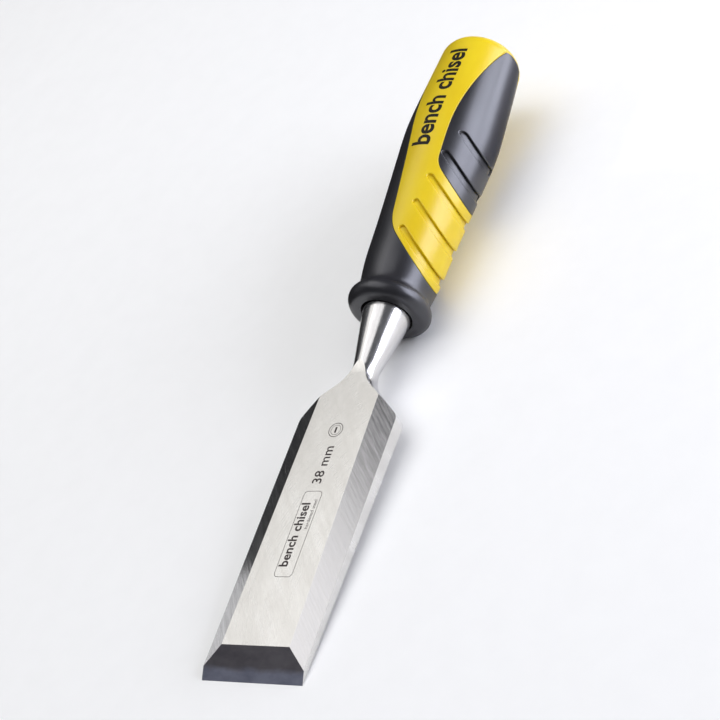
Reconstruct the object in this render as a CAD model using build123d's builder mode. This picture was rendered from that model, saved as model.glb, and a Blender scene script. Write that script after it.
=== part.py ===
from build123d import *
from math import atan2, cos, radians, sin, tan
import os

# Bench chisel, 38 mm: a ground steel blade with a conical neck and a tang that is moulded into a
# hard plastic handle, which carries two soft rubber grips. All sizes are in millimetres.
# Frame: the origin is the middle of the cutting edge, on the flat back. +X runs along the back
# towards the handle, +Z points out of the bevelled side, and +Y completes the set.
# Stations are distances along the handle's axis from the handle's front face.

# Blade
blade_width = 38.0
blade_length = 94.5  # cutting edge to where the sides end at the shoulders
edge_thickness = 4.3  # thickness at the cutting edge, before the grind is taken off
shoulder_thickness = 8.1
edge_side_height = 1.7  # height of the square side faces, below the side bevels
shoulder_side_height = 4.9
grind_angle = 25.0
side_bevel_angle = 23.5
corner_radius = 3.5  # seen from above, where a side turns into a shoulder

# Shoulders and neck, turned about the handle's axis
axis_tilt = 1.95  # the handle's axis rises from the flat back towards its end
axis_height = 5.8  # the axis above the flat back, at the handle's front face
neck_length = 40.8  # where the sides end to the handle's front face
shoulder_angle = 47.0  # slope of the shoulders to the axis
shoulder_fillet = 11.0  # radius between the shoulders and the neck
neck_radius = 8.4  # at the handle's front face
neck_angle = 10.0  # half angle of the conical neck
runout_distance = 25.7  # the handle's front face back to where the top flat starts to run out
runout_radius = 13.0
back_runout_distance = 20.3  # the handle's front face back to where the ground back ends

# Tang, a tapered square inside the handle
tang_width = 9.0
tang_tip_width = 5.0
tang_length = 76.0

# Handle
handle_length = 117.2
collar_radius = 14.4
collar_rounding = 3.4
waist_radius = 12.8
waist_station = 12.5
lower_grip_radius = 13.85
lower_grip_station = 26.0
swell_radius = 16.3
swell_station = 67.0
end_radius = 14.5
end_slope = 4.0  # the side's slope to the axis where the end's rounding begins
end_rounding = 6.0  # radius between the side and the domed end
end_turn = 72.0  # how far that rounding turns before the shallow dome takes over

# Rubber grips, let into the core by their thickness
grip_thickness = 2.2
neck_gap = 0.5  # open ring between the neck and the front grip
parting_rounding = 0.2  # edges of the grips and the core where they meet on the outside

# Two-colour pattern, drawn from above and cut right through, so both sides of the handle match.
# A line's station is where it crosses the handle's middle plane, carried on if it stops short.
band_angle = 40.0  # slant of the colour lines and the grooves to the axis
front_line = 27.0
front_corner_radius = 20.0
tongue_root_offset = 1.0  # from the middle plane to the front grip's left tongue, at its root
tongue_middle_station = 62.0
tongue_middle_offset = 4.6
tongue_blend = 300.0  # radius where its edge changes direction
tongue_tip_margin = 5.2  # from the tongue's tip to the handle's end
tongue_tip_offset = 13.4
palm_line = 63.8
palm_side_offset = 8.1  # from the middle plane to the palm grip's long edge
palm_side_end = 80.0  # station where that edge begins to slant out to the tip
palm_tip_offset = 13.4
palm_tip_margin = 4.2  # from the palm grip's tip to the handle's end
palm_corner_radius = 9.0
palm_blend = 180.0  # radius where the long edge begins to slant
tip_radius = 1.5

# Grooves across the palm grip and the core
groove_width = 2.0
groove_depth = 0.9
groove_rounding = 0.4  # edges of the grooves
groove_pitch = 13.1
first_groove_line = 31.5
groove_end_offsets = [3.9, 5.6, 7.4, 9.6, 12.4]  # from the middle plane, front groove first

# Working sizes
reach = 60.0  # half the size of the tools that cut the shapes
skin_tolerance = 0.01
blend_share = 0.6  # how much of the slanting stretch the palm grip's blend may take up
handle_front = blade_length + neck_length
runout_start = handle_front - runout_distance
back_runout = handle_front - back_runout_distance
tongue_tip_station = handle_length - tongue_tip_margin
palm_tip_station = handle_length - palm_tip_margin
palm_slant_run = palm_tip_station - palm_side_end
palm_slant_angle = atan2(palm_tip_offset - palm_side_offset, palm_slant_run)
widest_palm_blend = blend_share * palm_slant_run / tan(palm_slant_angle / 2)
tilt = radians(axis_tilt)
axis_direction = Vector(cos(tilt), 0, sin(tilt))
handle_start = Vector(handle_front, 0, axis_height)
side_view = Plane(origin=handle_start, x_dir=axis_direction, z_dir=(0, -1, 0))
top_view = Plane(origin=handle_start, x_dir=axis_direction, z_dir=(-sin(tilt), 0, cos(tilt)))
handle_axis = Axis(handle_start, axis_direction)
top_slope = (shoulder_thickness - edge_thickness) / blade_length
side_slope = (shoulder_side_height - edge_side_height) / blade_length
shoulder_slope = tan(radians(shoulder_angle))
neck_slope = tan(radians(neck_angle))
band_slope = tan(radians(band_angle))


def across_handle(station):
    """Plane square to the handle's axis at a station."""
    origin = handle_start + axis_direction * station
    return Plane(origin=origin, x_dir=(0, 1, 0), z_dir=axis_direction)


def on_band(line, offset):
    """Point at a sideways offset on the slanting line that crosses the middle plane at line."""
    return (line + offset / band_slope, offset)


def handle_body(inset):
    """The handle's whole outside, turned about its axis, or the same moved inwards by inset."""
    rim_centre = (collar_rounding, collar_radius - collar_rounding)
    with BuildPart() as body:
        with BuildSketch(side_view):
            with BuildLine():
                rim = CenterArc(rim_centre, collar_rounding - inset, 180, -140)
                side = Spline(
                    rim @ 1,
                    (waist_station, waist_radius - inset),
                    (lower_grip_station, lower_grip_radius - inset),
                    (swell_station, swell_radius - inset),
                    (handle_length - end_rounding, end_radius - inset),
                    tangents=[rim % 1, (1, -tan(radians(end_slope)))],
                )
                rounding = JernArc(side @ 1, side % 1, end_rounding - inset, -end_turn)
                dome = Line(rounding @ 1, (handle_length - inset, 0))
                Polyline(dome @ 1, (inset, 0), rim @ 0)
            make_face()
        revolve(axis=handle_axis)
    return body.part


def front_area():
    """The front grip seen from above: all before its slanting line, and the left tongue."""
    with BuildSketch(top_view) as area:
        with BuildLine():
            edge = FilletPolyline(
                on_band(front_line, -reach),
                on_band(front_line, tongue_root_offset),
                (tongue_middle_station, tongue_middle_offset),
                (tongue_tip_station, tongue_tip_offset),
                (tongue_tip_station, reach),
                radius=[front_corner_radius, tongue_blend, tip_radius],
            )
            Polyline(edge @ 1, (-reach, reach), (-reach, -reach), edge @ 0)
        make_face()
    return area.sketch


def palm_area():
    """The palm grip seen from above, open past the right flank."""
    with BuildSketch(top_view) as area:
        with BuildLine():
            edge = FilletPolyline(
                on_band(palm_line, -reach),
                on_band(palm_line, -palm_side_offset),
                (palm_side_end, -palm_side_offset),
                (palm_tip_station, -palm_tip_offset),
                (palm_tip_station, -reach),
                radius=[palm_corner_radius, min(palm_blend, widest_palm_blend), tip_radius],
            )
            Line(edge @ 1, edge @ 0)
        make_face()
    return area.sketch


def groove_cutter():
    """All the grooves as one tool: slanting slots that stop at the grooves' floor."""
    with BuildPart() as cutter:
        with BuildSketch(top_view):
            for number, end_offset in enumerate(groove_end_offsets):
                line = first_groove_line + number * groove_pitch
                SlotCenterPoint(on_band(line, -reach), on_band(line, -end_offset), groove_width)
        extrude(amount=reach, both=True)
        add(handle_body(groove_depth), mode=Mode.SUBTRACT)
    return cutter.part


def wall_edges(part):
    """Edges of a piece where a wall of its own meets the handle's outside."""
    skin = outer_body.shells()[0]

    def off_skin(face):
        return skin.distance_to(face.position_at(0.5, 0.5)) > skin_tolerance

    def on_skin(edge):
        places = [edge.position_at(share) for share in (0.2, 0.5, 0.8)]
        return all(skin.distance_to(place) < skin_tolerance for place in places)

    return part.faces().filter_by(off_skin).edges().filter_by(on_skin)


def groove_rims(part):
    """Edges where the grooves open on the outside of a piece."""
    turned = part.faces().filter_by(GeomType.REVOLUTION)
    return [edge for face in turned for wire in face.inner_wires() for edge in wire.edges()]


outer_body = handle_body(0)
inner_body = handle_body(grip_thickness)
grooves = groove_cutter()

with BuildPart() as blade:
    # Shoulders and neck turned as one solid
    meeting_rise = blade_width / 2 - shoulder_slope * neck_length - neck_radius
    meeting_station = meeting_rise / (shoulder_slope + neck_slope)
    meeting_point = (meeting_station, neck_radius + neck_slope * meeting_station)
    flare_top = (meeting_station - (reach - meeting_point[1]) / shoulder_slope, reach)
    neck_end = (grip_thickness, neck_radius + neck_slope * grip_thickness)
    with BuildSketch(side_view):
        with BuildLine():
            flank = FilletPolyline(flare_top, meeting_point, neck_end, radius=shoulder_fillet)
            Polyline(
                flank @ 1,
                (grip_thickness, 0),
                (-handle_front - reach, 0),
                (-handle_front - reach, reach),
                flank @ 0,
            )
        make_face()
    revolve(axis=handle_axis)

    # Flat back, sides and top, with the top running out on the neck
    with BuildSketch(Plane.XY):
        with Locations((back_runout, 0)):
            Rectangle(4 * reach, 4 * reach, align=(Align.MAX, Align.CENTER))
    extrude(amount=-2 * reach, mode=Mode.SUBTRACT)
    for side in (-1, 1):
        with BuildSketch(Plane.XZ.offset(side * blade_width / 2)):
            Rectangle(8 * reach, 4 * reach)
        extrude(amount=side * 2 * reach, mode=Mode.SUBTRACT)
    with BuildSketch(Plane.XZ):
        with BuildLine():
            top = Line(
                (-reach, edge_thickness - reach * top_slope),
                (runout_start, edge_thickness + runout_start * top_slope),
            )
            runout = JernArc(top @ 1, top % 1, runout_radius, 80)
            Polyline(runout @ 1, (runout_start, 2 * reach), (-2 * reach, 2 * reach), top @ 0)
        make_face()
    extrude(amount=reach, both=True, mode=Mode.SUBTRACT)

    # Corners where the sides turn into the shoulders
    for side in (-1, 1):
        flat_side = blade.faces().filter_by(Axis.Y).sort_by(Axis.Y)[0 if side < 0 else -1]
        fillet(flat_side.edges().sort_by(Axis.X)[-1], radius=corner_radius)

    # Side bevels, then the grind at the cutting edge
    for side in (-1, 1):
        bevel_normal = Vector(-side_slope, side * tan(radians(side_bevel_angle)), 1)
        bevel_start = Vector(0, side * blade_width / 2, edge_side_height)
        bevel = Plane(origin=bevel_start, x_dir=(1, 0, side_slope), z_dir=bevel_normal)
        with BuildSketch(bevel):
            with Locations((runout_start, 0)):
                Rectangle(4 * reach, reach, align=(Align.MAX, Align.CENTER))
        extrude(amount=reach, mode=Mode.SUBTRACT)
    grind = Plane(
        origin=(0, 0, 0),
        x_dir=(cos(radians(grind_angle)), 0, sin(radians(grind_angle))),
        z_dir=(-sin(radians(grind_angle)), 0, cos(radians(grind_angle))),
    )
    with BuildSketch(grind):
        Rectangle(4 * reach, 2 * reach)
    extrude(amount=2 * reach, mode=Mode.SUBTRACT)

    # Tang
    with BuildSketch(across_handle(grip_thickness)):
        Rectangle(tang_width, tang_width)
    with BuildSketch(across_handle(tang_length)):
        Rectangle(tang_tip_width, tang_tip_width)
    loft()

with BuildPart() as front_grip:
    add(outer_body)
    add(front_area())
    extrude(amount=reach, both=True, mode=Mode.INTERSECT)
    add(inner_body, mode=Mode.SUBTRACT)
    with Locations(across_handle(0)):
        Cone(
            neck_radius + neck_gap,
            neck_radius + neck_gap + neck_slope * grip_thickness,
            grip_thickness,
            align=(Align.CENTER, Align.CENTER, Align.MIN),
            mode=Mode.SUBTRACT,
        )
    fillet(wall_edges(front_grip.part), radius=parting_rounding)

with BuildPart() as palm_grip:
    add(outer_body)
    add(palm_area())
    extrude(amount=reach, both=True, mode=Mode.INTERSECT)
    add(inner_body, mode=Mode.SUBTRACT)
    fillet(wall_edges(palm_grip.part), radius=parting_rounding)
    add(grooves, mode=Mode.SUBTRACT)
    fillet(groove_rims(palm_grip.part), radius=groove_rounding)

with BuildPart() as handle_core:
    add(outer_body)
    for area in (front_area(), palm_area()):
        add(area)
        extrude(amount=reach, both=True, mode=Mode.SUBTRACT)
    add(inner_body)
    fillet(wall_edges(handle_core.part), radius=parting_rounding)
    add(grooves, mode=Mode.SUBTRACT)
    fillet(groove_rims(handle_core.part), radius=groove_rounding)
    add(blade.part, mode=Mode.SUBTRACT)

blade.part.label = "blade"
handle_core.part.label = "handle_core"
front_grip.part.label = "front_grip"
palm_grip.part.label = "palm_grip"

os.makedirs("parts", exist_ok=True)
export_step(blade.part, "parts/blade.step")
export_step(handle_core.part, "parts/handle_core.step")
export_step(front_grip.part, "parts/front_grip.step")
export_step(palm_grip.part, "parts/palm_grip.step")
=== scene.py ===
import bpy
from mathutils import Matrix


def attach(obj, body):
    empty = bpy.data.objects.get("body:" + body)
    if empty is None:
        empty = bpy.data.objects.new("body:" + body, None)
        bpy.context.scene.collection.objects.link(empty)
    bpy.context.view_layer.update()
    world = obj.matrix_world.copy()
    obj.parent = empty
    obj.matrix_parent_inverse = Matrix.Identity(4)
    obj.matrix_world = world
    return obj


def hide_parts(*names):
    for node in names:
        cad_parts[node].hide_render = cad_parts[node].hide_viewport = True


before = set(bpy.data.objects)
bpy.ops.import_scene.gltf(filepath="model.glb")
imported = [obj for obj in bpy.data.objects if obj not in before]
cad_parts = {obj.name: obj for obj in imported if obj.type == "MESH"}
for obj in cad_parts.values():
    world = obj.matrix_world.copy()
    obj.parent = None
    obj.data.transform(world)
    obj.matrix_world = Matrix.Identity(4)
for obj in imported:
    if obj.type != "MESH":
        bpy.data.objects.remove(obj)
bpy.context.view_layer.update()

import math

import bpy
from mathutils import Matrix, Vector

bpy.ops.object.select_all(action="DESELECT")

# ------------------------------------------------------------------------------------------
# Blade. One forging in chrome steel: the neck and shoulders are turned and polished, then the
# back, top, side bevels and the cutting bevel are ground flat. Its tang is moulded into the
# handle. The ground faces keep the wheel's lines, and their edges are only just broken.
BLADE_LENGTH = 0.0945
EDGE_THICKNESS = 0.0043
SHOULDER_THICKNESS = 0.0081
EDGE_SIDE_HEIGHT = 0.0017
SHOULDER_SIDE_HEIGHT = 0.0049
TOP_SLOPE = math.atan2(SHOULDER_THICKNESS - EDGE_THICKNESS, BLADE_LENGTH)
SIDE_SLOPE = math.atan2(SHOULDER_SIDE_HEIGHT - EDGE_SIDE_HEIGHT, BLADE_LENGTH)
SIDE_BEVEL_ANGLE = math.radians(23.5)
GRIND_ANGLE = math.radians(25)
HONED_BAND = 0.0036
BAND_BLUR = 0.0009
BAND_WAVER = 0.0007
RUNOUT_START = 0.1
GRAIN_SLANT = (0, 0, math.radians(38))
WHEEL_CENTRE = (0.03, -0.07, 0)
WELD_DISTANCE = 0.000002
COPLANAR_ANGLE = math.radians(0.2)
FACING_TOLERANCE = math.radians(0.3)
SLOPE_TOLERANCE = 0.01
EDGE_BREAK = 0.00012
EDGE_BREAK_ANGLE = math.radians(18)
SMOOTH_ANGLE = math.radians(24)


def finish_of(name):
    """A new material with the nodes its finish is built from."""
    material = bpy.data.materials.new(name)
    material.use_nodes = True
    shader = material.node_tree.nodes["Principled BSDF"]
    return material, material.node_tree, shader


def node(tree, kind, inputs=(), **settings):
    """Adds a node, sets its fields, and fills its sockets with values or links."""
    added = tree.nodes.new(kind)
    for field, value in settings.items():
        setattr(added, field, value)
    for socket, value in dict(inputs).items():
        if isinstance(value, bpy.types.NodeSocket):
            tree.links.new(value, added.inputs[socket])
        else:
            added.inputs[socket].default_value = value
    return added


def place_in(tree, turn=(0, 0, 0), size=(1, 1, 1), centre=(0, 0, 0)):
    """Object coordinates seen from a turned, moved and stretched frame."""
    coordinates = node(tree, "ShaderNodeTexCoord").outputs["Object"]
    mapping = node(
        tree,
        "ShaderNodeMapping",
        {"Vector": coordinates, "Location": centre, "Rotation": turn, "Scale": size},
        vector_type="TEXTURE",
    )
    return mapping.outputs["Vector"]


def noise(tree, vector, detail=3.0, roughness=0.55):
    """Cloudy noise, whose grains are about as large as the frame it is read in."""
    inputs = {"Vector": vector, "Scale": 1.0, "Detail": detail, "Roughness": roughness}
    return node(tree, "ShaderNodeTexNoise", inputs).outputs["Fac"]


def graded(tree, factor, stops):
    """A colour ramp over a grey value: two (place, colour) stops, where a colour may be one grey."""
    ramp = node(tree, "ShaderNodeValToRGB", {"Fac": factor})
    for element, (place, colour) in zip(ramp.color_ramp.elements, stops):
        element.position = place
        element.color = (*colour, 1) if isinstance(colour, tuple) else (colour, colour, colour, 1)
    return ramp.outputs["Color"]


def ranged(tree, factor, low, high, out_low, out_high):
    """Carries a grey value from one range to another."""
    limits = {"From Min": low, "From Max": high, "To Min": out_low, "To Max": out_high}
    return node(tree, "ShaderNodeMapRange", {"Value": factor, **limits}).outputs["Result"]


def mixed(tree, factor, first, second):
    """Blends two colours by a grey value."""
    blend = node(tree, "ShaderNodeMix", data_type="RGBA")
    for index, value in ((0, factor), (6, first), (7, second)):
        if isinstance(value, bpy.types.NodeSocket):
            tree.links.new(value, blend.inputs[index])
        else:
            blend.inputs[index].default_value = value if index == 0 else (*value, 1)
    return blend.outputs[2]


def sum_of(tree, first, second, operation="ADD"):
    """Adds two grey values, or joins them by another operation."""
    return node(tree, "ShaderNodeMath", {0: first, 1: second}, operation=operation).outputs[0]


def arc_grain(tree, centre, across, along, detail=2.0):
    """Fine lines that run in arcs round a far centre, as a cup wheel leaves them."""
    place = place_in(tree, centre=centre)
    split = node(tree, "ShaderNodeSeparateXYZ", {0: place})
    flat = node(tree, "ShaderNodeCombineXYZ", {0: split.outputs[0], 1: split.outputs[1]})
    distance = node(tree, "ShaderNodeVectorMath", {0: flat.outputs[0]}, operation="LENGTH")
    turn = sum_of(tree, split.outputs[1], split.outputs[0], "ARCTAN2")
    reach = math.hypot(centre[0], centre[1])
    lines = node(
        tree,
        "ShaderNodeCombineXYZ",
        {
            0: sum_of(tree, distance.outputs["Value"], 1 / across, "MULTIPLY"),
            1: sum_of(tree, turn, reach / along, "MULTIPLY"),
            2: sum_of(tree, split.outputs[2], 1 / along, "MULTIPLY"),
        },
    )
    return noise(tree, lines.outputs[0], detail=detail)


def roughened(tree, shader, broad, broad_range, fine, fine_range):
    """Roughness from two grey values: a broad one, and a fine one that is added to it."""
    broad_share = ranged(tree, broad, 0.3, 0.7, *broad_range)
    fine_share = ranged(tree, fine, 0.3, 0.7, *fine_range)
    tree.links.new(sum_of(tree, broad_share, fine_share), shader.inputs["Roughness"])


def bumped(tree, shader, height, strength, distance):
    """Feeds a height into the shader's normal."""
    settings = {"Height": height, "Strength": strength, "Distance": distance}
    bump = node(tree, "ShaderNodeBump", settings)
    tree.links.new(bump.outputs["Normal"], shader.inputs["Normal"])


# Ground flats: warm light steel with faint wide streaks and fine arcs of grinding lines
ground_flat, tree, shader = finish_of("ground_flat_steel")
shader.inputs["Metallic"].default_value = 1
wide_streaks = noise(tree, place_in(tree, turn=GRAIN_SLANT, size=(0.03, 0.0035, 0.01)), detail=4)
fine_arcs = arc_grain(tree, centre=WHEEL_CENTRE, across=0.00022, along=0.02, detail=3)
mist = noise(tree, place_in(tree, size=(0.018, 0.012, 0.012)), detail=5, roughness=0.6)
streaked_mist = sum_of(tree, wide_streaks, mist, "MULTIPLY")
steel_tone = graded(tree, streaked_mist, [(0.12, (0.68, 0.665, 0.645)), (0.42, (0.82, 0.81, 0.795))])
tree.links.new(steel_tone, shader.inputs["Base Color"])
roughened(tree, shader, wide_streaks, (0.2, 0.27), fine_arcs, (-0.03, 0.04))
bumped(tree, shader, sum_of(tree, fine_arcs, ranged(tree, wide_streaks, 0, 1, 0, 0.6)), 0.35, 0.000004)

# Ground bevels: the same steel with coarser lines that cross the bevel on a slant
ground_bevel, tree, shader = finish_of("ground_bevel_steel")
shader.inputs["Metallic"].default_value = 1
cross_lines = noise(tree, place_in(tree, turn=GRAIN_SLANT, size=(0.016, 0.0006, 0.004)), detail=4)
hair_lines = noise(tree, place_in(tree, turn=GRAIN_SLANT, size=(0.02, 0.00015, 0.004)), detail=2)
bevel_tone = graded(tree, cross_lines, [(0.3, (0.66, 0.65, 0.65)), (0.7, (0.8, 0.79, 0.8))])
tree.links.new(bevel_tone, shader.inputs["Base Color"])
line_polish = ranged(tree, cross_lines, 0.25, 0.75, 0.14, 0.27)
hair_polish = ranged(tree, hair_lines, 0.3, 0.7, -0.02, 0.03)
tree.links.new(sum_of(tree, line_polish, hair_polish), shader.inputs["Roughness"])
bumped(tree, shader, sum_of(tree, hair_lines, ranged(tree, cross_lines, 0, 1, 0, 2)), 0.3, 0.000007)

# Cutting bevel: wheel-ground steel above a finely honed band along the edge. Its colour holds painted
# reflection: painted dark and mottled above the band, lighter and bluish in it.
honed_edge, tree, shader = finish_of("honed_edge_steel")
shader.inputs["Metallic"].default_value = 1
split = node(tree, "ShaderNodeSeparateXYZ", {0: place_in(tree)})
waver = noise(tree, place_in(tree, size=(0.006, 0.006, 0.006)), detail=3)
wavering = ranged(tree, waver, 0.25, 0.75, -BAND_WAVER, BAND_WAVER)
edge_distance = sum_of(tree, split.outputs[0], wavering)
honed_band_and_reflection_share = ranged(tree, edge_distance, HONED_BAND - BAND_BLUR, HONED_BAND + BAND_BLUR, 1, 0)
edge_lines = noise(tree, place_in(tree, size=(0.009, 0.0005, 0.009)), detail=4)
tone_mottle = noise(tree, place_in(tree, size=(0.005, 0.009, 0.005)), detail=5, roughness=0.6)
# Painted reflection: the steel's colour is set dark above the band and lighter and bluish in it, in
# place of the dark and bluish surround it mirrors.
painted_dark_reflection_tone = graded(tree, tone_mottle, [(0.3, (0.19, 0.175, 0.2)), (0.7, (0.3, 0.285, 0.31))])
painted_bluish_reflection_tone = graded(tree, tone_mottle, [(0.3, (0.23, 0.245, 0.32)), (0.7, (0.36, 0.375, 0.48))])
tree.links.new(mixed(tree, honed_band_and_reflection_share, painted_dark_reflection_tone, painted_bluish_reflection_tone), shader.inputs["Base Color"])
wheel_polish = ranged(tree, edge_lines, 0.3, 0.7, 0.28, 0.32)
hone_polish = ranged(tree, honed_band_and_reflection_share, 0, 1, 0, 0.14)
tree.links.new(sum_of(tree, wheel_polish, hone_polish), shader.inputs["Roughness"])
bumped(tree, shader, sum_of(tree, edge_lines, ranged(tree, honed_band_and_reflection_share, 0, 1, 0.4, 0)), 0.1, 0.000003)

# Neck and shoulders: turned and polished, with very fine rings and a few lengthwise rubs
polished_neck, tree, shader = finish_of("polished_neck_steel")
shader.inputs["Metallic"].default_value = 1
turned_rings = noise(tree, place_in(tree, size=(0.00016, 0.012, 0.012)), detail=2)
rubs = noise(tree, place_in(tree, size=(0.014, 0.0012, 0.0012)), detail=4)
neck_tone = graded(tree, rubs, [(0.3, (0.68, 0.67, 0.67)), (0.7, (0.8, 0.79, 0.79))])
tree.links.new(neck_tone, shader.inputs["Base Color"])
roughened(tree, shader, rubs, (0.17, 0.24), turned_rings, (-0.015, 0.02))
bumped(tree, shader, sum_of(tree, turned_rings, rubs), 0.25, 0.000005)

ground_blade = bpy.data.objects.new("ground_blade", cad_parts["blade"].data.copy())
bpy.context.collection.objects.link(ground_blade)
bpy.context.view_layer.objects.active = ground_blade
ground_blade.select_set(True)
bpy.ops.mesh.customdata_custom_splitnormals_clear()
bpy.ops.object.mode_set(mode="EDIT")
bpy.ops.mesh.select_all(action="SELECT")
bpy.ops.mesh.remove_doubles(threshold=WELD_DISTANCE)
bpy.ops.mesh.dissolve_limited(angle_limit=COPLANAR_ANGLE)
bpy.ops.object.mode_set(mode="OBJECT")
edge_break = ground_blade.modifiers.new("edge_break", "BEVEL")
edge_break.limit_method = "ANGLE"
edge_break.angle_limit = EDGE_BREAK_ANGLE
edge_break.width = EDGE_BREAK
edge_break.segments = 2
bpy.ops.object.modifier_apply(modifier="edge_break")
bpy.ops.object.shade_smooth_by_angle(angle=SMOOTH_ANGLE)
even_shade = ground_blade.modifiers.new("even_shade", "WEIGHTED_NORMAL")
even_shade.keep_sharp = True
bpy.ops.object.modifier_apply(modifier="even_shade")

# Each face takes its finish from the way it looks, and so does the run-out of the top flat
steels = [polished_neck, ground_flat, ground_bevel, honed_edge]
ground_blade.data.materials.clear()
for steel in steels:
    ground_blade.data.materials.append(steel)
bevel_lean = math.tan(SIDE_BEVEL_ANGLE)
facings = [
    (ground_flat, Vector((-math.sin(TOP_SLOPE), 0, math.cos(TOP_SLOPE)))),
    (ground_flat, Vector((0, 0, -1))),
    (ground_flat, Vector((0, 1, 0))),
    (ground_flat, Vector((0, -1, 0))),
    (ground_bevel, Vector((-math.tan(SIDE_SLOPE), bevel_lean, 1)).normalized()),
    (ground_bevel, Vector((-math.tan(SIDE_SLOPE), -bevel_lean, 1)).normalized()),
    (honed_edge, Vector((-math.sin(GRIND_ANGLE), 0, math.cos(GRIND_ANGLE)))),
]
for face in ground_blade.data.polygons:
    for steel, facing in facings:
        if face.normal.dot(facing) > math.cos(FACING_TOLERANCE):
            face.material_index = steels.index(steel)
    on_runout = abs(face.normal.y) < SLOPE_TOLERANCE and face.center.x > RUNOUT_START
    if on_runout and face.normal.z > 0 and face.normal.x < 0:
        face.material_index = steels.index(ground_flat)
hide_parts("blade")
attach(ground_blade, "root")
ground_blade.select_set(False)

# ------------------------------------------------------------------------------------------
# Marks on the blade. Dark etched lines on the top flat: a thin rounded frame round plain words,
# the blade's width, and a small ring. They are modelled as a film a few microns proud.
MARK_FILM = 0.000012


def on_top_flat(x):
    """Height of the blade's top flat."""
    return EDGE_THICKNESS + x * math.tan(TOP_SLOPE)


def film_of(mark, name, x, y, material):
    """Lays a flat shape, drawn round its own origin, on the top flat as a solid film."""
    bpy.ops.object.select_all(action="DESELECT")
    bpy.context.view_layer.objects.active = mark
    mark.select_set(True)
    if mark.type != "MESH":
        bpy.ops.object.convert(target="MESH")
    mark = bpy.context.object
    mark.name = name
    mark.location = (x, y, on_top_flat(x))
    mark.rotation_euler = (0, -TOP_SLOPE, 0)
    bpy.ops.object.transform_apply(location=True, rotation=True, scale=True)
    mark.data.materials.clear()
    mark.data.materials.append(material)
    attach(mark, "root")
    mark.select_set(False)


def words(text, size, weight, spread=1.0):
    """Lettering as a text object, centred on its own origin."""
    bpy.ops.object.text_add()
    lettering = bpy.context.object
    lettering.data.body = text
    lettering.data.size = size
    lettering.data.offset = weight
    lettering.data.extrude = MARK_FILM
    lettering.data.align_x = "CENTER"
    lettering.data.align_y = "CENTER"
    lettering.data.space_character = spread
    lettering.data.resolution_u = 4
    return lettering


etched_mark, tree, shader = finish_of("etched_mark")
etch = noise(tree, place_in(tree, size=(0.0004, 0.0004, 0.0004)), detail=4)
etch_tone = graded(tree, etch, [(0.3, (0.035, 0.028, 0.028)), (0.75, (0.085, 0.07, 0.068))])
tree.links.new(etch_tone, shader.inputs["Base Color"])
tree.links.new(ranged(tree, etch, 0.3, 0.7, 0.5, 0.75), shader.inputs["Roughness"])
shader.inputs["Metallic"].default_value = 0.4
bumped(tree, shader, etch, 0.3, 0.000005)

main_words = words("bench chisel", size=0.0046, weight=0.00011, spread=1.02)
film_of(main_words, "mark_words", x=0.0487, y=0.0006, material=etched_mark)
small_words = words("hardened steel", size=0.0018, weight=0)
film_of(small_words, "mark_small_words", x=0.0560, y=-0.0026, material=etched_mark)
width_words = words("38 mm", size=0.0050, weight=0.00005, spread=1.03)
film_of(width_words, "mark_width", x=0.0742, y=-0.0003, material=etched_mark)

# Rounded frame: a plane whose corners are rounded, then inset, and its middle taken out
FRAME_LENGTH = 0.0309
FRAME_WIDTH = 0.0070
FRAME_CORNER = 0.0014
FRAME_LINE = 0.00016
bpy.ops.mesh.primitive_plane_add(size=1)
mark_frame = bpy.context.object
mark_frame.scale = (FRAME_LENGTH, FRAME_WIDTH, 1)
bpy.ops.object.transform_apply(scale=True)
bpy.ops.object.mode_set(mode="EDIT")
bpy.ops.mesh.select_all(action="SELECT")
bpy.ops.mesh.bevel(offset=FRAME_CORNER, segments=6, affect="VERTICES")
bpy.ops.mesh.select_all(action="SELECT")
bpy.ops.mesh.inset(thickness=FRAME_LINE, depth=0)
bpy.ops.mesh.delete(type="FACE")
bpy.ops.mesh.select_all(action="SELECT")
bpy.ops.mesh.extrude_region_move(TRANSFORM_OT_translate={"value": (0, 0, MARK_FILM)})
bpy.ops.mesh.select_all(action="SELECT")
bpy.ops.mesh.normals_make_consistent(inside=False)
bpy.ops.object.mode_set(mode="OBJECT")
film_of(mark_frame, "mark_frame", x=0.04905, y=-0.0005, material=etched_mark)

# Small ring with a plain bar, beside the width
RING_RADIUS = 0.0027
RING_LINE = 0.00022
INNER_RING_RADIUS = RING_RADIUS * 0.7
INNER_RING_LINE = RING_LINE * 0.6
BAR_LENGTH = RING_RADIUS * 0.8
BAR_SLIMNESS = 0.3
bpy.ops.mesh.primitive_circle_add(vertices=48, radius=RING_RADIUS, fill_type="NGON")
mark_ring = bpy.context.object
bpy.ops.object.mode_set(mode="EDIT")
bpy.ops.mesh.select_all(action="SELECT")
bpy.ops.mesh.inset(thickness=RING_LINE, depth=0)
bpy.ops.mesh.delete(type="FACE")
bpy.ops.mesh.primitive_circle_add(vertices=32, radius=INNER_RING_RADIUS, fill_type="NGON")
bpy.ops.mesh.inset(thickness=INNER_RING_LINE, depth=0)
bpy.ops.mesh.delete(type="FACE")
bpy.ops.mesh.primitive_plane_add(size=BAR_LENGTH)
bpy.ops.transform.resize(value=(1, BAR_SLIMNESS, 1))
bpy.ops.mesh.select_all(action="SELECT")
bpy.ops.mesh.extrude_region_move(TRANSFORM_OT_translate={"value": (0, 0, MARK_FILM)})
bpy.ops.mesh.select_all(action="SELECT")
bpy.ops.mesh.normals_make_consistent(inside=False)
bpy.ops.object.mode_set(mode="OBJECT")
film_of(mark_ring, "mark_ring", x=0.0874, y=0, material=etched_mark)

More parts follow.
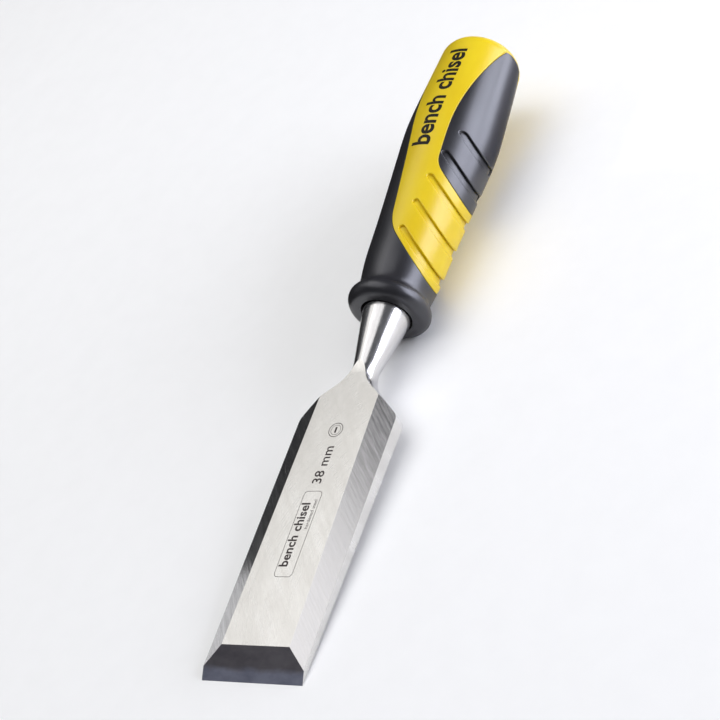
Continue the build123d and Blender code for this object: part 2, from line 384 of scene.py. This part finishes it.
# ------------------------------------------------------------------------------------------
# Handle core. Hard yellow plastic, moulded round the tang in one shot, with the grooves of the
# grip area moulded in. It has the fine spark texture of its mould, and painted shade round the neck.
HANDLE_FRONT = 0.1353
AXIS_HEIGHT = 0.0058
AXIS_TILT = math.radians(1.95)
PAINTED_SHADE_DEPTH = 0.0028
PAINTED_SHADE_FADE = 0.0008

yellow_plastic, tree, shader = finish_of("yellow_handle_plastic")
cloud = noise(tree, place_in(tree, size=(0.03, 0.014, 0.014)), detail=4)
spark = noise(tree, place_in(tree, size=(0.00035, 0.00035, 0.00035)), detail=3)
pores = noise(tree, place_in(tree, size=(0.0012, 0.0012, 0.0012)), detail=5, roughness=0.65)
body_tone = graded(tree, cloud, [(0.3, (0.655, 0.46, 0.0035)), (0.7, (0.735, 0.55, 0.007))])
speck_share = ranged(tree, pores, 0.62, 0.75, 0, 0.35)
worn_tone = mixed(tree, speck_share, body_tone, (0.56, 0.37, 0.005))
# Painted shade: the yellow turns near black within a few millimetres of its front, where it sits in
# the shadowed gap inside the collar.
front_frame = place_in(tree, centre=(HANDLE_FRONT, 0, 0))
from_front = node(tree, "ShaderNodeSeparateXYZ", {0: front_frame}).outputs[0]
painted_shade_share = ranged(tree, from_front, PAINTED_SHADE_DEPTH, PAINTED_SHADE_DEPTH + PAINTED_SHADE_FADE, 1, 0)
painted_shade_tone = mixed(tree, painted_shade_share, worn_tone, (0.02, 0.018, 0.015))
tree.links.new(painted_shade_tone, shader.inputs["Base Color"])
roughened(tree, shader, cloud, (0.31, 0.37), spark, (-0.03, 0.04))
shader.inputs["Specular IOR Level"].default_value = 0.55
shader.inputs["Subsurface Weight"].default_value = 0.08
shader.inputs["Subsurface Radius"].default_value = (0.002, 0.0012, 0.0004)
shader.inputs["Subsurface Scale"].default_value = 1.0
bumped(tree, shader, sum_of(tree, spark, ranged(tree, pores, 0, 1, 0, 1.5)), 0.25, 0.00002)
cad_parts["handle_core"].material_slots[0].material = yellow_plastic

# ------------------------------------------------------------------------------------------
# Lettering on the handle. Plain words, pad printed in black along the top of the yellow core;
# the ink film follows the handle's curve.
INK_FILM = 0.00001
LETTERING_STATION = 0.0845
LETTERING_SHIFT = -0.0008
LETTERING_LIFT = 0.022
LETTERING_SIZE = 0.0094
LETTERING_WEIGHT = 0.00026
INK_SMOOTH_ANGLE = math.radians(30)
CUTS_EACH_WAY = 12
CUT_PITCH_ACROSS = 0.0004
CUT_PITCH_ALONG = 0.0025

printing_ink, tree, shader = finish_of("black_printing_ink")
grit = noise(tree, place_in(tree, size=(0.0003, 0.0003, 0.0003)), detail=4)
ink_tone = graded(tree, grit, [(0.3, (0.006, 0.005, 0.005)), (0.8, (0.016, 0.014, 0.012))])
tree.links.new(ink_tone, shader.inputs["Base Color"])
tree.links.new(ranged(tree, grit, 0.3, 0.7, 0.45, 0.6), shader.inputs["Roughness"])
shader.inputs["Specular IOR Level"].default_value = 0.25
bumped(tree, shader, grit, 0.2, 0.00001)

lettering = words("bench chisel", LETTERING_SIZE, LETTERING_WEIGHT)
lettering.data.extrude = 0
lettering.name = "handle_lettering"
bpy.ops.object.convert(target="MESH")
handle_words = bpy.context.object
along = Vector((math.cos(AXIS_TILT), 0, math.sin(AXIS_TILT)))
above = Vector((-math.sin(AXIS_TILT), 0, math.cos(AXIS_TILT)))
handle_words.location = (
    Vector((HANDLE_FRONT, 0, AXIS_HEIGHT))
    + along * LETTERING_STATION
    + above * LETTERING_LIFT
    + Vector((0, LETTERING_SHIFT, 0))
)
handle_words.rotation_euler = (0, -AXIS_TILT, 0)
bpy.ops.object.transform_apply(location=True, rotation=True, scale=True)
bpy.ops.object.mode_set(mode="EDIT")
for cut in range(-CUTS_EACH_WAY, CUTS_EACH_WAY + 1):
    side_place = LETTERING_SHIFT + cut * CUT_PITCH_ACROSS
    bpy.ops.mesh.select_all(action="SELECT")
    bpy.ops.mesh.bisect(plane_co=(0, side_place, 0), plane_no=(0, 1, 0))
for cut in range(-CUTS_EACH_WAY, CUTS_EACH_WAY + 1):
    station = HANDLE_FRONT + LETTERING_STATION + cut * CUT_PITCH_ALONG
    bpy.ops.mesh.select_all(action="SELECT")
    bpy.ops.mesh.bisect(plane_co=(station, 0, 0), plane_no=(1, 0, 0))
bpy.ops.object.mode_set(mode="OBJECT")
wrap = handle_words.modifiers.new("wrap", "SHRINKWRAP")
wrap.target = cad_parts["handle_core"]
wrap.wrap_method = "PROJECT"
wrap.use_project_z = True
wrap.use_negative_direction = True
wrap.use_positive_direction = False
wrap.offset = INK_FILM / 2
bpy.ops.object.modifier_apply(modifier="wrap")
ink_body = handle_words.modifiers.new("ink_body", "SOLIDIFY")
ink_body.thickness = INK_FILM
ink_body.offset = 0
bpy.ops.object.modifier_apply(modifier="ink_body")
bpy.ops.object.shade_smooth_by_angle(angle=INK_SMOOTH_ANGLE)
handle_words.data.materials.clear()
handle_words.data.materials.append(printing_ink)
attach(handle_words, "root")
handle_words.select_set(False)

# ------------------------------------------------------------------------------------------
# Rubber grips. Soft black rubber, moulded over the core: the front grip with its collar and the
# tongue on the left flank, and the palm grip with two of the grooves. Satin, with a fine spark
# texture, a cloudy bloom and specks of dust.
grip_rubber, tree, shader = finish_of("black_grip_rubber")
bloom = noise(tree, place_in(tree, size=(0.02, 0.012, 0.012)), detail=5, roughness=0.6)
spark = noise(tree, place_in(tree, size=(0.0003, 0.0003, 0.0003)), detail=3)
dust = noise(tree, place_in(tree, size=(0.0009, 0.0009, 0.0009)), detail=6, roughness=0.7)
rubber_tone = graded(tree, bloom, [(0.3, (0.011, 0.0105, 0.0125)), (0.75, (0.018, 0.0175, 0.0205))])
dust_share = ranged(tree, dust, 0.66, 0.8, 0, 0.3)
dusty_tone = mixed(tree, dust_share, rubber_tone, (0.06, 0.06, 0.065))
tree.links.new(dusty_tone, shader.inputs["Base Color"])
roughened(tree, shader, bloom, (0.3, 0.37), spark, (-0.03, 0.04))
shader.inputs["Specular IOR Level"].default_value = 0.95
# Painted reflection: a bluish specular tint gives the rubber's highlights a bluish cast.
shader.inputs["Specular Tint"].default_value = (0.93, 0.94, 1.0, 1)
bumped(tree, shader, sum_of(tree, spark, dust), 0.3, 0.00002)
for grip in ("front_grip", "palm_grip"):
    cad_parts[grip].material_slots[0].material = grip_rubber

# ------------------------------------------------------------------------------------------
# Floor, a plain pale card that the chisel lies on: it touches the cutting edge and the swell
# of the handle, and for the camera it fades into the backdrop farther out.
FLOOR_SIZE = 12
FADE_CENTRE = (0.12, 0, 0)
FADE_START = 0.35
FADE_END = 1.0
lean = 0.0
for name in ("handle_core", "front_grip", "palm_grip"):
    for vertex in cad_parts[name].data.vertices:
        lean = max(lean, math.atan2(-vertex.co.z, vertex.co.x))
bpy.ops.mesh.primitive_plane_add(size=FLOOR_SIZE)
floor = bpy.context.object
floor.name = "floor"
bpy.ops.object.mode_set(mode="EDIT")
bpy.ops.mesh.subdivide(number_cuts=9)
bpy.ops.object.mode_set(mode="OBJECT")
floor.rotation_euler = (0, lean, 0)
bpy.ops.object.transform_apply(rotation=True)
pale_card, tree, shader = finish_of("pale_card")
paper = noise(tree, place_in(tree, size=(0.01, 0.01, 0.01)), detail=5)
tree.links.new(graded(tree, paper, [(0.3, 0.93), (0.7, 0.945)]), shader.inputs["Base Color"])
shader.inputs["Roughness"].default_value = 0.8
shader.inputs["Specular IOR Level"].default_value = 0.2
fade_frame = place_in(tree, centre=FADE_CENTRE)
distance_out = node(tree, "ShaderNodeVectorMath", {0: fade_frame}, operation="LENGTH")
fade = ranged(tree, distance_out.outputs["Value"], FADE_START, FADE_END, 0, 1)
camera_ray = node(tree, "ShaderNodeLightPath").outputs["Is Camera Ray"]
fade_seen = sum_of(tree, fade, camera_ray, "MULTIPLY")
clear = node(tree, "ShaderNodeBsdfTransparent").outputs[0]
card = node(tree, "ShaderNodeMixShader", {0: fade_seen, 1: shader.outputs[0], 2: clear})
tree.links.new(card.outputs[0], tree.nodes["Material Output"].inputs["Surface"])
floor.data.materials.append(pale_card)

# ------------------------------------------------------------------------------------------
# Soft studio light: a large box on the right, one behind, one above the blade, a weak one on
# the left, and an even fill that lights the card but shows in no reflection.
LIGHT_AIM = Vector((0.09, 0, 0.005))


def softbox(name, azimuth, elevation, distance, size, radiance, colour=(1, 1, 1), gloss=True):
    """An area light that faces the chisel from a direction, with the brightness its face shows."""
    level = math.radians(elevation)
    bearing = math.radians(azimuth)
    flat_way = Vector((math.cos(bearing), math.sin(bearing), 0))
    way = flat_way * math.cos(level) + Vector((0, 0, math.sin(level)))
    lamp = bpy.data.lights.new(name, "AREA")
    lamp.shape = "RECTANGLE"
    lamp.size, lamp.size_y = size
    lamp.energy = radiance * math.pi * size[0] * size[1]
    lamp.color = colour
    box = bpy.data.objects.new(name, lamp)
    bpy.context.collection.objects.link(box)
    facing = (-way).to_track_quat("-Z", "Y").to_matrix().to_4x4()
    box.matrix_world = Matrix.Translation(LIGHT_AIM + way * distance) @ facing
    box.visible_glossy = gloss


softbox("right_softbox", -60, 14, 1.0, (1.0, 0.5), 6.2, (0.87, 0.89, 1.0))
softbox("back_softbox", 58, 50, 1.0, (0.8, 0.42), 1.0, (1.0, 0.985, 0.95))
softbox("top_softbox", 70, 78, 1.02, (0.95, 0.8), 1.15, (1.0, 0.99, 0.99))
softbox("left_softbox", 88, 13, 1.0, (0.66, 0.42), 0.75)
softbox("card_fill", -20, 75, 1.6, (2.6, 2.6), 0.9, gloss=False)


def only_mirrored(card, name, tone, glow=0.0):
    """Finishes a matt card that shows in reflections and nowhere else; a glow makes it a painted
    highlight there.
    """
    card.name = name
    face, tree, shader = finish_of(name + "_face")
    shader.inputs["Base Color"].default_value = (*tone, 1)
    shader.inputs["Roughness"].default_value = 0.9
    shader.inputs["Emission Color"].default_value = (*tone, 1)
    shader.inputs["Emission Strength"].default_value = glow
    card.data.materials.append(face)
    card.visible_camera = False
    card.visible_diffuse = False
    card.visible_shadow = False


# A black panel leans in from the left, only to be mirrored in the left bevel and the neck
PANEL_PLACE = (0.284, 0.125, 0.035)
PANEL_SIZE = (0.38, 0.15, 1)
PANEL_FAR_HEIGHT = 0.1
PANEL_NEAR_HEIGHT = -0.01
PANEL_FAR_SHIFT = 0.03
PANEL_NEAR_SHIFT = -0.045
bpy.ops.mesh.primitive_plane_add(size=1, location=PANEL_PLACE)
dark_panel = bpy.context.object
dark_panel.scale = PANEL_SIZE
bpy.ops.object.transform_apply(location=True, scale=True)
for corner in dark_panel.data.vertices:
    far = corner.co.y > PANEL_PLACE[1]
    corner.co.z = PANEL_FAR_HEIGHT if far else PANEL_NEAR_HEIGHT
    corner.co.x += PANEL_FAR_SHIFT if far else PANEL_NEAR_SHIFT
only_mirrored(dark_panel, "dark_panel", (0.01, 0.01, 0.01))

# A glowing card and a grey one lie to the right of the palm grip, only to be mirrored in it: a painted
# highlight and a painted darker band
CARD_CENTRE = 0.462
CARD_LENGTH = 0.5
CARD_LIFT = 0.002
for name, near, far, tone, glow in (
    ("bright_card", -0.055, -0.5, (0.87, 0.89, 1.0), 4.2),
    ("grey_card", -0.012, -0.055, (0.3, 0.3, 0.33), 0.0),
):
    middle = (near + far) / 2
    bpy.ops.mesh.primitive_plane_add(size=1, location=(CARD_CENTRE, middle, CARD_LIFT))
    card = bpy.context.object
    card.scale = (CARD_LENGTH, near - far, 1)
    bpy.ops.object.transform_apply(location=True, scale=True)
    card.rotation_euler = (0, lean, 0)
    bpy.ops.object.transform_apply(rotation=True)
    only_mirrored(card, name, tone, glow)

# A dim sky for everything but the camera, which sees a pale backdrop
studio = bpy.data.worlds.new("studio")
studio.use_nodes = True
tree = studio.node_tree
surround = tree.nodes["Background"]
surround.inputs["Color"].default_value = (0.9, 0.93, 1.0, 1)
surround.inputs["Strength"].default_value = 0.12
backdrop = node(tree, "ShaderNodeBackground", {"Color": (0.86, 0.86, 0.87, 1), "Strength": 1.0})
seen = node(tree, "ShaderNodeLightPath").outputs["Is Camera Ray"]
both = node(tree, "ShaderNodeMixShader", {0: seen, 1: surround.outputs[0], 2: backdrop.outputs[0]})
tree.links.new(both.outputs[0], tree.nodes["World Output"].inputs["Surface"])
bpy.context.scene.world = studio
bpy.context.scene.view_settings.view_transform = "Standard"

# ------------------------------------------------------------------------------------------
# Camera, looking down on the cutting edge from the right. A long lens keeps the chisel nearly
# free of perspective, and the roll lets the handle lean to the right.
CAMERA_PLACE = Vector((-0.2254, -0.3720, 0.4146))
CAMERA_AIM = Vector((0.1180, 0.0044, 0.0050))
CAMERA_ROLL = math.radians(-37.88)
lens = bpy.data.cameras.new("camera")
lens.lens = 100
lens.sensor_width = 36
camera = bpy.data.objects.new("camera", lens)
bpy.context.collection.objects.link(camera)
facing = (CAMERA_AIM - CAMERA_PLACE).to_track_quat("-Z", "Y").to_matrix().to_4x4()
camera.matrix_world = Matrix.Translation(CAMERA_PLACE) @ facing @ Matrix.Rotation(CAMERA_ROLL, 4, "Z")
bpy.context.scene.camera = camera
